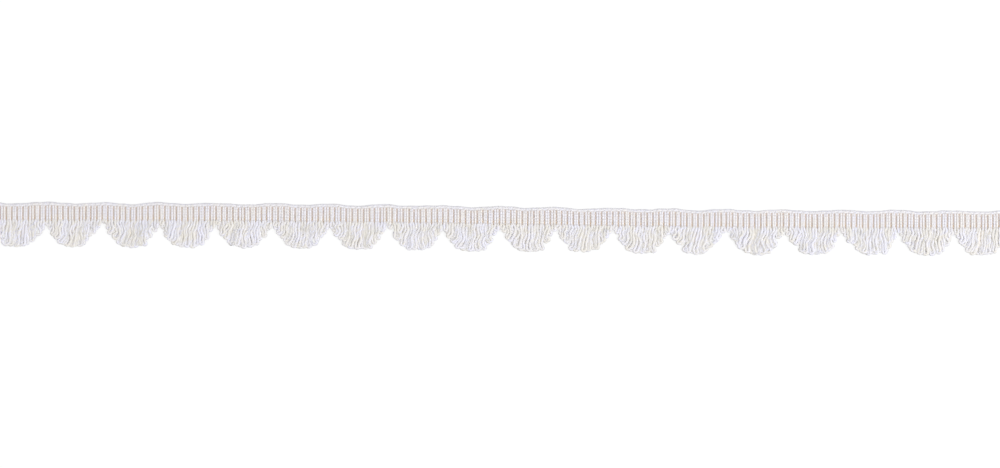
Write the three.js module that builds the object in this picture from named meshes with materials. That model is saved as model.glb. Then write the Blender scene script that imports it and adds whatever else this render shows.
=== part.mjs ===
// A cut length of woven fan edge trim, laid flat: a ribbed heading and eighteen scalloped fans of loops.
// Millimetres. +X runs along the trim, +Y across it to the plain selvedge, and +Z up from what it lies on.
// The origin is at the middle of the heading's flat underside.
import * as THREE from "three";

// The trim's repeat
const fanPitch = 34;
const ribsPerFan = 10;
const ribPitch = fanPitch / ribsPerFan;

// The heading, from its selvedge down to the line where the fringe leaves it
const headingDepth = 10.4;
const selvedgeY = headingDepth / 2;
const bandDepth = 1.4;
const ribSlope = 0.5;
const edgeRound = 0.5;
const edgeHeight = 0.8;
const bandHeight = 1.8;
const ribHeight = 2;
const seamHeight = 1.7;
const groundHeight = 0.9;

// Each rib is a pair of yarns with a seam between them. Shares of the rib pitch, from the rib's left side.
const ribProfile = [
  { share: 0.11, height: groundHeight },
  { share: 0.31, height: ribHeight },
  { share: 0.5, height: seamHeight },
  { share: 0.69, height: ribHeight },
  { share: 0.89, height: groundHeight },
];

// The fringe: a root strip parted from the heading, and one loop of yarn for each rib
const parting = 0.3;
const stripDepth = 2.2;
const yarnWidth = 1.25;
const yarnCrown = 0.75;
const yarnHeight = 1.3;
const legSpacing = ribPitch / 2;
const turnSteps = 3;

// The scallop, measured down from the selvedge's mean line
const notchDepth = 13.8;
const flankPower = 0.6;

// How the laid trim wanders: it drifts across over its length, and the selvedge rises at each notch.
const driftHalf = 2.64;
const driftReach = 168;
const selvedgeRise = 0.45;

// A row for each fan, left to right. deepFrom and deepTo bound its deepest part, measured from the fan's left.
// depth is how far that part reaches, and sway moves the loops' ends along.
const fans = [
  { deepFrom: 8.4, deepTo: 26.6, depth: 26.2, sway: 0 },
  { deepFrom: 8.4, deepTo: 23.6, depth: 26.1, sway: -0.4 },
  { deepFrom: 9.4, deepTo: 25.8, depth: 26.4, sway: 0.2 },
  { deepFrom: 7.8, deepTo: 25.4, depth: 26.4, sway: -0.2 },
  { deepFrom: 7.8, deepTo: 24.2, depth: 26.3, sway: -0.3 },
  { deepFrom: 8.4, deepTo: 25.2, depth: 26.2, sway: -0.2 },
  { deepFrom: 9.0, deepTo: 25.8, depth: 26.4, sway: 0 },
  { deepFrom: 9.9, deepTo: 25.8, depth: 26.5, sway: 0.2 },
  { deepFrom: 7.8, deepTo: 25.8, depth: 26.7, sway: -0.3 },
  { deepFrom: 9.0, deepTo: 25.8, depth: 26.4, sway: 0.1 },
  { deepFrom: 8.4, deepTo: 24.6, depth: 26.2, sway: -0.3 },
  { deepFrom: 9.0, deepTo: 25.8, depth: 26.5, sway: 0 },
  { deepFrom: 8.4, deepTo: 26.4, depth: 26.6, sway: -0.1 },
  { deepFrom: 9.6, deepTo: 26.8, depth: 26.5, sway: 0.3 },
  { deepFrom: 9.6, deepTo: 27.2, depth: 26.3, sway: 0.2 },
  { deepFrom: 10.8, deepTo: 28.2, depth: 26.5, sway: 0.5 },
  { deepFrom: 9.9, deepTo: 27.2, depth: 26.5, sway: 0.3 },
  { deepFrom: 8.4, deepTo: 25.8, depth: 26.3, sway: 0 },
];

// A row for each loop of a fan, left to right: how far its end leans along from its root.
const loops = [
  { lean: 0 },
  { lean: -0.5 },
  { lean: -1 },
  { lean: -1.3 },
  { lean: -1.4 },
  { lean: -1 },
  { lean: -0.4 },
  { lean: 0.3 },
  { lean: 0.5 },
  { lean: 0 },
];

const trimLength = fans.length * fanPitch;
const ribCount = fans.length * ribsPerFan;
const startX = -trimLength / 2;

const drift = (x) => -driftHalf * Math.tanh(x / driftReach);
const rise = (x) => selvedgeRise * Math.cos((2 * Math.PI * (x - startX)) / fanPitch);

// A point of the heading, so far down from the selvedge, whose rise fades out towards the fringe.
function headingPoint(x, down, z) {
  const fade = 1 - down / headingDepth;
  return new THREE.Vector3(x, selvedgeY - down + drift(x) + fade * rise(x), z);
}

// The flat faces of one solid, gathered one by one. Each takes its corners anticlockwise, seen from outside.
class Faces {
  positions = [];

  triangle(...corners) {
    corners.forEach((p) => this.positions.push(p.x, p.y, p.z));
  }

  quad(a, b, c, d) {
    this.triangle(a, b, c);
    this.triangle(a, c, d);
  }

  // A flat end across X, inside the outline of the points given. It faces +X, or -X when turned.
  end(points, turned) {
    const flat = points.map((p) => new THREE.Vector2(p.y, p.z));
    for (const [a, b, c] of THREE.ShapeUtils.triangulateShape(flat, [])) {
      if (turned) this.triangle(points[a], points[c], points[b]);
      else this.triangle(points[a], points[b], points[c]);
    }
  }

  geometry() {
    const geometry = new THREE.BufferGeometry();
    geometry.setAttribute("position", new THREE.Float32BufferAttribute(this.positions, 3));
    geometry.computeVertexNormals();
    return geometry;
  }
}

// Two rows of points along X joined by triangles, whatever the number of points in each.
function joinRows(faces, row, next) {
  let a = 0;
  let b = 0;
  while (a < row.length - 1 || b < next.length - 1) {
    const alongRow = b === next.length - 1 || (a < row.length - 1 && row[a + 1].x <= next[b + 1].x);
    if (alongRow) {
      faces.triangle(row[a], row[a + 1], next[b]);
      a += 1;
    } else {
      faces.triangle(row[a], next[b + 1], next[b]);
      b += 1;
    }
  }
}

// The heading: a flat band whose top is raised into ribs, with a smooth selvedge along its far edge.
function headingGeometry() {
  const plain = (down, z) =>
    Array.from({ length: ribCount + 1 }, (_, i) => headingPoint(startX + i * ribPitch, down, z));
  const ribbed = (down) => {
    const row = [headingPoint(startX, down, groundHeight)];
    for (let rib = 0; rib < ribCount; rib += 1)
      for (const { share, height } of ribProfile)
        row.push(headingPoint(startX + (rib + share) * ribPitch, down, height));
    row.push(headingPoint(-startX, down, groundHeight));
    return row;
  };
  const rows = [
    plain(0, 0),
    plain(headingDepth, 0),
    ribbed(headingDepth),
    ribbed(bandDepth + ribSlope),
    plain(bandDepth, bandHeight),
    plain(edgeRound, bandHeight),
    plain(0, edgeHeight),
  ];
  const faces = new Faces();
  rows.forEach((row, i) => joinRows(faces, row, rows[(i + 1) % rows.length]));
  faces.end(rows.map((row) => row.at(0)), true);
  faces.end(rows.map((row) => row.at(-1)), false);
  return faces.geometry();
}

// How far a fan reaches below the selvedge at a distance along it from the notch on its left.
function scallopDepth(fan, along) {
  const left = along / fan.deepFrom;
  const right = (fanPitch - along) / (fanPitch - fan.deepTo);
  const share = THREE.MathUtils.clamp(Math.min(left, right), 0, 1);
  return THREE.MathUtils.lerp(notchDepth, fan.depth, share ** flankPower);
}

// A point on the edge of the root strip that the loops hang from.
const rootDown = headingDepth + parting + stripDepth;
const rootPoint = (x, z) => new THREE.Vector3(x, selvedgeY - rootDown + drift(x), z);

// A strand's section where it leaves the strip: flat where it rests, and narrower on top.
// Corners run along the bottom from the loop's outside to its inside, then back along the top.
// side is -1 for the left leg and 1 for the right one.
function rootSection(x, side) {
  const wide = (side * yarnWidth) / 2;
  const narrow = (side * yarnCrown) / 2;
  return [
    rootPoint(x + wide, 0),
    rootPoint(x - wide, 0),
    rootPoint(x - narrow, yarnHeight),
    rootPoint(x + narrow, yarnHeight),
  ];
}

// The sections round the turn at a loop's end, from its left leg to its right one.
function turnSections(tip) {
  return Array.from({ length: turnSteps + 1 }, (_, i) => {
    const angle = Math.PI * (1 + i / turnSteps);
    const at = (offset, z) => {
      const reach = legSpacing / 2 + offset;
      return new THREE.Vector3(tip.x + reach * Math.cos(angle), tip.y + reach * Math.sin(angle), z);
    };
    return [
      at(yarnWidth / 2, 0),
      at(-yarnWidth / 2, 0),
      at(-yarnCrown / 2, yarnHeight),
      at(yarnCrown / 2, yarnHeight),
    ];
  });
}

// The sections of one loop of yarn, down its left leg, round the turn and up its right leg.
function loopSections(fan, fanX, number) {
  const rootAlong = (number + 0.5) * ribPitch;
  const rootX = fanX + rootAlong;
  const sway = fan.sway * Math.sin((Math.PI * rootAlong) / fanPitch) ** 2;
  const tipAlong = rootAlong + loops[number].lean + sway;
  const tipDown = scallopDepth(fan, tipAlong) - (legSpacing + yarnWidth) / 2;
  const tip = new THREE.Vector2(fanX + tipAlong, selvedgeY - tipDown + drift(rootX));
  const half = legSpacing / 2;
  return [rootSection(rootX - half, -1), ...turnSections(tip), rootSection(rootX + half, 1)];
}

// One fan: its root strip, parted from the heading and the next fan's, with the loops standing out from it.
function fanGeometry(fan, index) {
  const fanX = startX + index * fanPitch;
  const [left, right] = [fanX + parting / 2, fanX + fanPitch - parting / 2];
  const faces = new Faces();
  const lowFront = [rootPoint(left, 0)];
  const highFront = [rootPoint(left, yarnHeight)];
  for (let number = 0; number < ribsPerFan; number += 1) {
    const sections = loopSections(fan, fanX, number);
    for (let i = 1; i < sections.length; i += 1)
      for (let corner = 0; corner < 4; corner += 1) {
        const next = (corner + 1) % 4;
        faces.quad(sections[i - 1][corner], sections[i - 1][next], sections[i][next], sections[i][corner]);
      }
    const [first, last] = [sections.at(0), sections.at(-1)];
    lowFront.push(first[0], first[1], last[1], last[0]);
    highFront.push(first[3], first[2], last[2], last[3]);
  }
  lowFront.push(rootPoint(right, 0));
  highFront.push(rootPoint(right, yarnHeight));
  for (let i = 0; i < lowFront.length; i += 2)
    faces.quad(lowFront[i], lowFront[i + 1], highFront[i + 1], highFront[i]);

  const across = new THREE.Vector3(0, stripDepth, 0);
  const backRow = (z) => [left, (left + right) / 2, right].map((x) => rootPoint(x, z).add(across));
  const [lowBack, highBack] = [backRow(0), backRow(yarnHeight)];
  joinRows(faces, lowBack, lowFront);
  joinRows(faces, highFront, highBack);
  for (let i = 1; i < lowBack.length; i += 1)
    faces.quad(lowBack[i], lowBack[i - 1], highBack[i - 1], highBack[i]);
  faces.quad(lowFront.at(-1), lowBack.at(-1), highBack.at(-1), highFront.at(-1));
  faces.quad(lowBack.at(0), lowFront.at(0), highFront.at(0), highBack.at(0));
  return faces.geometry();
}

function namedMesh(name, geometry, color, roughness) {
  const mesh = new THREE.Mesh(geometry, new THREE.MeshStandardMaterial({ color, roughness, metalness: 0 }));
  mesh.name = name;
  return mesh;
}

const trim = new THREE.Group();
trim.add(namedMesh("heading", headingGeometry(), "#e3dcd8", 0.9));
fans.forEach((fan, index) => {
  const number = String(index + 1).padStart(2, "0");
  trim.add(namedMesh(`fan_${number}`, fanGeometry(fan, index), "#e9e6e6", 0.85));
});

export default trim;
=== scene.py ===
"""A cut length of fan edge trim: paired yarn ribs over a tan ground, and below them uncut loops in fans.

Metres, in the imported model's frame. +X runs along the trim, +Y across it to the plain selvedge, and +Z up.
Every piece is first made straight and flat. It is then settled as the trim lies, with its drift and waves.
"""

import logging
import math
from dataclasses import astuple, dataclass
from enum import Enum
from typing import Any

import bpy
import numpy as np
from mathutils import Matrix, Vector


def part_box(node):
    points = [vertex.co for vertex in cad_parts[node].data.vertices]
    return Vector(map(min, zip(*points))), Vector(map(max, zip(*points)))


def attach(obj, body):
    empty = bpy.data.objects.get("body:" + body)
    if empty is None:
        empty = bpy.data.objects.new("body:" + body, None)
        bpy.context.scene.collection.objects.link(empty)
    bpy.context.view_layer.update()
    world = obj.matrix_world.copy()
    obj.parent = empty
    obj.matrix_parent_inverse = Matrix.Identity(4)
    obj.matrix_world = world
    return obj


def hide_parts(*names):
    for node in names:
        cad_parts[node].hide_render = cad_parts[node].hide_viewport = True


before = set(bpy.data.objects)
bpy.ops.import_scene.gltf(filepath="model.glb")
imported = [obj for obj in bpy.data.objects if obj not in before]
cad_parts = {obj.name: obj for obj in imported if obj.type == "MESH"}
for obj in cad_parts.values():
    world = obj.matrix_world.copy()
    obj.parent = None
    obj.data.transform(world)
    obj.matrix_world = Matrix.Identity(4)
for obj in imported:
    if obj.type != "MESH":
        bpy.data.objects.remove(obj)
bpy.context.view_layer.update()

MM = 0.001
TURN = 2 * math.pi
Colour = tuple[float, float, float]
Place = tuple[float, float, float]
Span = tuple[float, float]
log = logging.getLogger("fan_edge_trim")


def ramp(value: Any, start: float, end: float) -> Any:
    """Return how far the value is from start to end, eased in and out, and held at 0 and 1 beyond them."""
    share = np.clip((value - start) / (end - start), 0, 1)
    return share * share * (3 - 2 * share)


def lerp(start: Any, end: Any, share: Any) -> Any:
    """Return the value that is a share of the way from start to end."""
    return start + (end - start) * share


def linked(name: str, data: bpy.types.ID) -> bpy.types.Object:
    """Put a new object in the scene.

    Args:
        name: the object's name.
        data: what it holds, such as a mesh or a lamp.

    Returns:
        The object, at the origin.
    """
    holder = bpy.data.objects.new(name, data)
    bpy.context.scene.collection.objects.link(holder)
    return holder


@dataclass(frozen=True)
class Lie:
    """How the trim lies: its repeat, its drift across, and its selvedge's rise at notches and waver."""

    start_x: float
    fan_pitch: float
    fans: int
    selvedge_y: float = 5.2 * MM
    heading_depth: float = 10.4 * MM
    ribs_per_fan: int = 10
    drift_half: float = 2.64 * MM
    drift_reach: float = 168 * MM
    selvedge_rise: float = 0.45 * MM
    waver: float = 0.1 * MM
    waver_runs: tuple[float, ...] = (71 * MM, 26 * MM, 10.7 * MM)

    @classmethod
    def from_frame(cls) -> "Lie":
        """Read the lie from the frame.

        Returns:
            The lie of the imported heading, with one fan for each fan node.
        """
        low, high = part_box("heading")
        fans = sum(name.startswith("fan_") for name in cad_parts)
        return cls(start_x=low[0], fan_pitch=(high[0] - low[0]) / fans, fans=fans)

    @property
    def length(self) -> float:
        """Return the trim's length."""
        return self.fan_pitch * self.fans

    @property
    def rib_pitch(self) -> float:
        """Return the distance between ribs."""
        return self.fan_pitch / self.ribs_per_fan

    @property
    def ribs(self) -> int:
        """Return how many ribs the heading has."""
        return self.fans * self.ribs_per_fan

    def settle(self, mesh: bpy.types.Mesh) -> None:
        """Move a flat, straight mesh to where the trim lies.

        Args:
            mesh: the mesh, in the flat frame. Nothing of it ends up below what the trim lies on.
        """
        points = np.empty(len(mesh.vertices) * 3)
        mesh.vertices.foreach_get("co", points)
        points = points.reshape(-1, 3)
        along, across = points[:, 0], points[:, 1]
        fade = np.clip(1 - (self.selvedge_y - across) / self.heading_depth, 0, 1)
        rise = self.selvedge_rise * np.cos(TURN * (along - self.start_x) / self.fan_pitch)
        for start, run in enumerate(self.waver_runs):
            rise += self.waver * np.sin(TURN * along / run + start)
        points[:, 1] += fade * rise - self.drift_half * np.tanh(along / self.drift_reach)
        points[:, 2] = np.maximum(points[:, 2], 0)
        mesh.vertices.foreach_set("co", points.ravel())
        mesh.update()


class Nodes:
    """A node tree in the making."""

    def __init__(self, tree: bpy.types.NodeTree) -> None:
        """Take the tree that the nodes go into."""
        self.tree = tree

    def feed(self, socket: bpy.types.NodeSocket, value: Any) -> None:
        """Link a socket to the one given as value, or else set it to that value."""
        if isinstance(value, bpy.types.NodeSocket):
            self.tree.links.new(value, socket)
        else:
            socket.default_value = value

    def add(self, kind: str, settings: dict[str, Any] | None = None, **inputs: Any) -> bpy.types.Node:
        """Add a node.

        Args:
            kind: the node's type.
            settings: the node's own settings.
            inputs: a value or a socket for each input, by its name with _ for each space.

        Returns:
            The new node.
        """
        node = self.tree.nodes.new(kind)
        for key, value in (settings or {}).items():
            setattr(node, key, value)
        for name, value in inputs.items():
            wanted = name.replace("_", " ")
            socket = next(entry for entry in node.inputs if entry.enabled and entry.name == wanted)
            self.feed(socket, value)
        return node

    def math(self, operation: str, *values: Any) -> bpy.types.NodeSocket:
        """Add a Math node.

        Args:
            operation: what it does.
            values: a value or a socket for each of its inputs in turn.

        Returns:
            The socket of its result.
        """
        node = self.add("ShaderNodeMath", {"operation": operation})
        for socket, value in zip(node.inputs, values):
            self.feed(socket, value)
        return node.outputs[0]

    def ease(self, value: Any, start: Any, end: Any, low: Any, high: Any) -> bpy.types.NodeSocket:
        """Ease from one value to another.

        Args:
            value: what decides how far the result has gone.
            start: the value at which it leaves the low.
            end: the value at which it reaches the high.
            low: the result up to the start.
            high: the result from the end on.

        Returns:
            The socket of the result.
        """
        settings = {"interpolation_type": "SMOOTHSTEP"}
        node = self.add("ShaderNodeMapRange", settings, Value=value, From_Min=start, From_Max=end)
        self.feed(node.inputs["To Min"], low)
        self.feed(node.inputs["To Max"], high)
        return node.outputs["Result"]

    def vector(self, x: Any, y: Any, z: Any) -> bpy.types.NodeSocket:
        """Return a vector made of three values or sockets."""
        return self.add("ShaderNodeCombineXYZ", X=x, Y=y, Z=z).outputs["Vector"]

    def part(self, vector: Any, axis: str) -> bpy.types.NodeSocket:
        """Return a vector's part along the axis X, Y or Z."""
        return self.add("ShaderNodeSeparateXYZ", Vector=vector).outputs[axis]

    def noise(self, place: Any, scale: Any, detail: float, roughness: float = 0.5) -> bpy.types.NodeSocket:
        """Return noise from 0 to 1, at a place and of a scale, with as many finer layers as detail says."""
        node = self.add("ShaderNodeTexNoise", Vector=place, Scale=scale, Detail=detail, Roughness=roughness)
        return node.outputs[0]

    def blend(self, share: Any, start: Any, end: Any) -> bpy.types.NodeSocket:
        """Blend two colours.

        Args:
            share: how far the result is from the first to the second, from 0 to 1.
            start: the first colour, as a socket or three numbers.
            end: the second colour, in either form.

        Returns:
            The socket of the blended colour.
        """
        node = self.add("ShaderNodeMix", {"data_type": "RGBA", "clamp_factor": True})
        self.feed(node.inputs["Factor"], share)
        for socket, colour in zip(node.inputs[6:8], (start, end)):
            self.feed(socket, colour if isinstance(colour, bpy.types.NodeSocket) else (*colour, 1.0))
        return node.outputs[2]


class MaterialTree(Nodes):
    """A material in the making, with one shader."""

    def __init__(self, name: str) -> None:
        """Start the material.

        Args:
            name: the material's name.
        """
        self.material = bpy.data.materials.new(name)
        self.material.use_nodes = True
        super().__init__(self.material.node_tree)
        self.shader = self.tree.nodes["Principled BSDF"]

    def attribute(self, name: str, output: str = "Fac") -> bpy.types.NodeSocket:
        """Return one of the attributes that the piece carries."""
        return self.add("ShaderNodeAttribute", {"attribute_name": name}).outputs[output]

    def place(self) -> bpy.types.NodeSocket:
        """Return where on the trim the surface is."""
        return self.add("ShaderNodeTexCoord").outputs["Object"]

    def bump(self, height: Any, strength: float, distance: float) -> None:
        """Roughen the surface by a height, so strongly and at most so far."""
        node = self.add("ShaderNodeBump", Strength=strength, Distance=distance, Height=height)
        self.feed(self.shader.inputs["Normal"], node.outputs["Normal"])

    def dress(self, colour: Any, **values: Any) -> bpy.types.Material:
        """Dress the shader.

        Args:
            colour: the surface's colour, as a socket or a value.
            values: a value for each other input, by its name with _ for each space.

        Returns:
            The finished material.
        """
        self.feed(self.shader.inputs["Base Color"], colour)
        for name, value in values.items():
            self.shader.inputs[name.replace("_", " ")].default_value = value
        return self.material


class GeometryTree(Nodes):
    """A geometry node tree with named inputs, which ends in realized instances that have a material."""

    def __init__(self, name: str) -> None:
        """Start the tree, with a geometry going in and a geometry coming out.

        Args:
            name: the tree's name.
        """
        super().__init__(bpy.data.node_groups.new(name, "GeometryNodeTree"))
        self.entry = self.add("NodeGroupInput")
        self.exit = self.add("NodeGroupOutput")
        self.tree.interface.new_socket("Geometry", in_out="OUTPUT", socket_type="NodeSocketGeometry")
        self.geometry = self.input("Geometry", "NodeSocketGeometry")

    def input(self, name: str, kind: str = "NodeSocketFloat") -> bpy.types.NodeSocket:
        """Return the socket of a new named input."""
        self.tree.interface.new_socket(name, in_out="INPUT", socket_type=kind)
        return self.entry.outputs[name]

    def whole(self, name: str) -> bpy.types.NodeSocket:
        """Return the socket of a new named input that is a whole number."""
        return self.input(name, "NodeSocketInt")

    def read(self, name: str) -> bpy.types.NodeSocket:
        """Return the named attribute of the geometry."""
        node = self.add("GeometryNodeInputNamedAttribute", {"data_type": "FLOAT"}, Name=name)
        return next(socket for socket in node.outputs if socket.enabled and socket.name == "Attribute")

    def store(self, geometry: Any, name: str, value: Any, kind: str = "FLOAT", domain: str = "POINT") -> Any:
        """Keep a value on the geometry as a named attribute.

        Args:
            geometry: what it is kept on.
            name: the attribute's name.
            value: the value, or the socket that it comes from.
            kind: the attribute's type.
            domain: what has a value of its own, a point or an instance.

        Returns:
            The socket of the geometry with the attribute.
        """
        settings = {"data_type": kind, "domain": domain}
        inputs = {"Geometry": geometry, "Name": name, "Value": value}
        return self.add("GeometryNodeStoreNamedAttribute", settings, **inputs).outputs["Geometry"]

    def chance(self, low: Any, high: Any, seed: Any) -> bpy.types.NodeSocket:
        """Return a random number between low and high for each element, from a fixed seed."""
        node = self.add("FunctionNodeRandomValue", {"data_type": "FLOAT"}, Min=low, Max=high, Seed=seed)
        return next(socket for socket in node.outputs if socket.enabled)

    def either_way(self, reach: Any, seed: Any) -> bpy.types.NodeSocket:
        """Return a random number for each element, at most reach above or below nothing."""
        return self.chance(self.math("MULTIPLY", reach, -1), reach, seed)

    def place(self) -> bpy.types.NodeSocket:
        """Return where each element is."""
        return self.add("GeometryNodeInputPosition").outputs["Position"]

    def index(self) -> bpy.types.NodeSocket:
        """Return each element's number."""
        return self.add("GeometryNodeInputIndex").outputs["Index"]

    def shift(self, geometry: Any, offset: Any) -> bpy.types.NodeSocket:
        """Return the geometry with each point moved by an offset."""
        return self.add("GeometryNodeSetPosition", Geometry=geometry, Offset=offset).outputs["Geometry"]

    def row(self, start: Any, count: Any, step: Any) -> bpy.types.NodeSocket:
        """Return points in a row, each a step beyond the one before."""
        inputs = {"Count": count, "Start_Location": start, "Offset": step}
        return self.add("GeometryNodeMeshLine", {"mode": "OFFSET"}, **inputs).outputs["Mesh"]

    def copies(self, shape: Any, points: Any, **inputs: Any) -> bpy.types.NodeSocket:
        """Return instances of a shape, one on each point."""
        placed = self.add("GeometryNodeInstanceOnPoints", Points=points, Instance=shape, **inputs)
        return placed.outputs["Instances"]

    def realize(self, instances: Any) -> bpy.types.NodeSocket:
        """Return instances as geometry of their own."""
        return self.add("GeometryNodeRealizeInstances", Geometry=instances).outputs["Geometry"]

    def circle(self, sides: Any, radius: Any) -> bpy.types.NodeSocket:
        """Return a round curve with so many sides."""
        return self.add("GeometryNodeCurvePrimitiveCircle", Resolution=sides, Radius=radius).outputs["Curve"]

    def sweep(self, lines: Any, profile: Any, **inputs: Any) -> bpy.types.NodeSocket:
        """Return the mesh that a profile makes along the lines, with closed ends."""
        inputs = {"Curve": lines, "Profile_Curve": profile, "Fill_Caps": True, **inputs}
        return self.add("GeometryNodeCurveToMesh", **inputs).outputs["Mesh"]

    def finish(self, mesh: Any) -> None:
        """Smooth what the tree has made, realize it, give it its material and send it out.

        Args:
            mesh: the socket of what it has made.
        """
        smoothed = self.add("GeometryNodeSetShadeSmooth", Geometry=mesh).outputs["Geometry"]
        material = self.input("Material", "NodeSocketMaterial")
        dressed = self.add("GeometryNodeSetMaterial", Geometry=self.realize(smoothed), Material=material)
        self.tree.links.new(dressed.outputs["Geometry"], self.exit.inputs["Geometry"])

    def run(self, name: str, source: bpy.types.Mesh | None, values: dict[str, Any]) -> bpy.types.Mesh:
        """Run the tree and keep its result as a plain mesh.

        Args:
            name: the name of the new mesh.
            source: the mesh that goes in, or None where the tree makes all of it.
            values: a value for each named input.

        Returns:
            The plain mesh, with no modifier behind it.
        """
        start = source or bpy.data.meshes.new(name + "_start")
        holder = linked(name + "_holder", start)
        modifier = holder.modifiers.new(name, "NODES")
        modifier.node_group = self.tree
        for item in self.tree.interface.items_tree:
            if item.in_out == "INPUT" and item.name in values:
                modifier[item.identifier] = values[item.name]
        holder.update_tag()
        graph = bpy.context.evaluated_depsgraph_get()
        result = bpy.data.meshes.new_from_object(
            holder.evaluated_get(graph), preserve_all_data_layers=True, depsgraph=graph
        )
        result.name = name
        holder.modifiers.remove(modifier)
        bpy.data.objects.remove(holder)
        bpy.data.meshes.remove(start)
        return result


class YarnTree(GeometryTree):
    """Turns centre lines into twisted yarn of several plies, in as many copies as asked for."""

    def __init__(self) -> None:
        """Build the tree."""
        super().__init__("yarn")
        lines = self.lines()
        profile = self.profile()
        tilt = self.math("DIVIDE", self.read("along"), self.input("Lay"))
        tilt = self.math("ADD", self.math("MULTIPLY", tilt, TURN), self.read("phase"))
        tilt = self.math("ADD", tilt, self.read("copy_phase"))
        twisted = self.add("GeometryNodeSetCurveTilt", Curve=lines, Tilt=tilt).outputs["Curve"]
        swept = self.sweep(twisted, profile, Scale=self.read("swell"))
        height = self.part(self.place(), "Z")
        fall = self.math("SUBTRACT", self.read("height"), height)
        pressed = self.math("MULTIPLY", fall, self.input("Flatten"))
        self.finish(self.shift(swept, self.vector(0, 0, pressed)))

    def lines(self) -> bpy.types.NodeSocket:
        """Copy the centre lines, each copy turned and stretched a little at random.

        Returns:
            The socket of the lines, as curves.
        """
        seed = self.whole("Seed")
        turned = self.vector(0, 0, self.either_way(self.input("Copy Turn"), seed))
        stretch = self.input("Copy Stretch")
        longer = self.chance(self.math("SUBTRACT", 1, stretch), self.math("ADD", 1, stretch), seed)
        strayed = self.vector(self.either_way(self.input("Copy Jitter"), seed), 0, 0)
        first = self.vector(self.input("First Copy"), 0, 0)
        points = self.row(first, self.whole("Copies"), self.vector(self.input("Copy Step"), 0, 0))
        points = self.shift(points, strayed)
        placed = self.copies(self.geometry, points, Rotation=turned, Scale=self.vector(1, longer, 1))
        placed = self.store(placed, "copy_phase", self.chance(0, TURN, seed), domain="INSTANCE")
        placed = self.store(placed, "copy_shade", self.chance(-1, 1, seed), domain="INSTANCE")
        return self.add("GeometryNodeMeshToCurve", Mesh=self.realize(placed)).outputs["Curve"]

    def profile(self) -> bpy.types.NodeSocket:
        """Return the yarn's cross section, drawn in between its plies.

        Returns:
            The curve, which keeps where each point is around the yarn and how deep in a groove it is.
        """
        sides = self.whole("Sides")
        plies = self.math("MULTIPLY", self.whole("Plies"), TURN)
        place = self.place()
        kept = self.store(self.circle(sides, 1.0), "girth", place, kind="FLOAT_VECTOR")
        angle = self.math("DIVIDE", self.math("MULTIPLY", self.index(), plies), sides)
        groove = self.math("MULTIPLY_ADD", self.math("COSINE", angle), -0.5, 0.5)
        kept = self.store(kept, "groove", groove)
        drawn_in = self.math("MULTIPLY", groove, self.input("Groove"))
        reach = self.math("MULTIPLY", self.input("Yarn Radius"), self.math("SUBTRACT", 1, drawn_in))
        moved = self.add("ShaderNodeVectorMath", {"operation": "SCALE"}, Vector=place, Scale=reach)
        placed = self.add("GeometryNodeSetPosition", Geometry=kept, Position=moved.outputs["Vector"])
        return placed.outputs["Geometry"]


class WarpTree(GeometryTree):
    """Rows of fine thread that cross every rib, and dip into every opening between ribs."""

    def __init__(self) -> None:
        """Build the tree."""
        super().__init__("warps")
        start = self.input("Start")
        rows = self.threads(start)
        ribs = self.math("SUBTRACT", self.part(self.place(), "X"), start)
        ribs = self.math("DIVIDE", ribs, self.input("Rib Pitch"))
        offset = self.math("ABSOLUTE", self.math("SUBTRACT", self.math("FRACT", ribs), 0.5))
        bound = self.math("MODULO", self.read("row"), 2)
        under = self.math("MULTIPLY_ADD", bound, self.input("Bound Lift"), self.input("Under"))
        over = self.ease(offset, 0, self.input("Seam Share"), self.input("Seam"), self.input("Over"))
        height = self.ease(offset, self.input("Edge Share"), self.input("Dip Share"), over, under)
        waver = self.noise(self.place(), self.input("Waver Scale"), detail=2.0)
        strayed = self.math("MULTIPLY", self.math("SUBTRACT", waver, 0.5), self.input("Waver"))
        across = self.math("ADD", self.input("First Row"), strayed)
        lifted = self.shift(rows, self.vector(0, across, height))
        self.finish(self.sweep(lifted, self.circle(self.whole("Sides"), self.input("Radius"))))

    def threads(self, start: bpy.types.NodeSocket) -> bpy.types.NodeSocket:
        """Run the threads' lines, straight and level, each with its row's number.

        Args:
            start: where along the trim they start.

        Returns:
            The socket of the lines.
        """
        end = self.math("ADD", start, self.input("Length"))
        ends = {"Start": self.vector(start, 0, 0), "End": self.vector(end, 0, 0)}
        line = self.add("GeometryNodeCurvePrimitiveLine", **ends).outputs["Curve"]
        spread = self.add("GeometryNodeResampleCurve", Curve=line, Count=self.whole("Steps"))
        step = self.vector(0, self.math("MULTIPLY", self.input("Row Step"), -1), 0)
        points = self.row((0, 0, 0), self.whole("Rows"), step)
        rows = self.copies(spread.outputs["Curve"], points)
        return self.realize(self.store(rows, "row", self.index(), domain="INSTANCE"))


class Twist(Enum):
    """Which way a yarn's plies are twisted, as the sign of its lay."""

    S = -1
    Z = 1


@dataclass(frozen=True)
class Yarn:
    """A yarn's make: its thickness, its plies and their twist, and how flat it is pressed."""

    radius: float
    sides: int
    plies: int
    groove: float
    lay: float
    twist: Twist
    flatten: float


@dataclass(frozen=True)
class Row:
    """Copies of one yarn in a row, with what varies from one to the next."""

    count: int = 1
    first: float = 0.0
    step: float = 0.0
    turn: float = 0.0
    stretch: float = 0.0
    jitter: float = 0.0


@dataclass
class Strand:
    """One yarn's centre line, its swell and painted shade share at each point of it, and its own twist and
    shade.
    """

    points: np.ndarray
    swell: np.ndarray
    gap_shade_share: np.ndarray
    phase: float
    shade: float

    def along(self) -> np.ndarray:
        """Return how far along the strand each point is."""
        steps = np.linalg.norm(np.diff(self.points, axis=0), axis=1)
        return np.concatenate([[0], np.cumsum(steps)])


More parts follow.
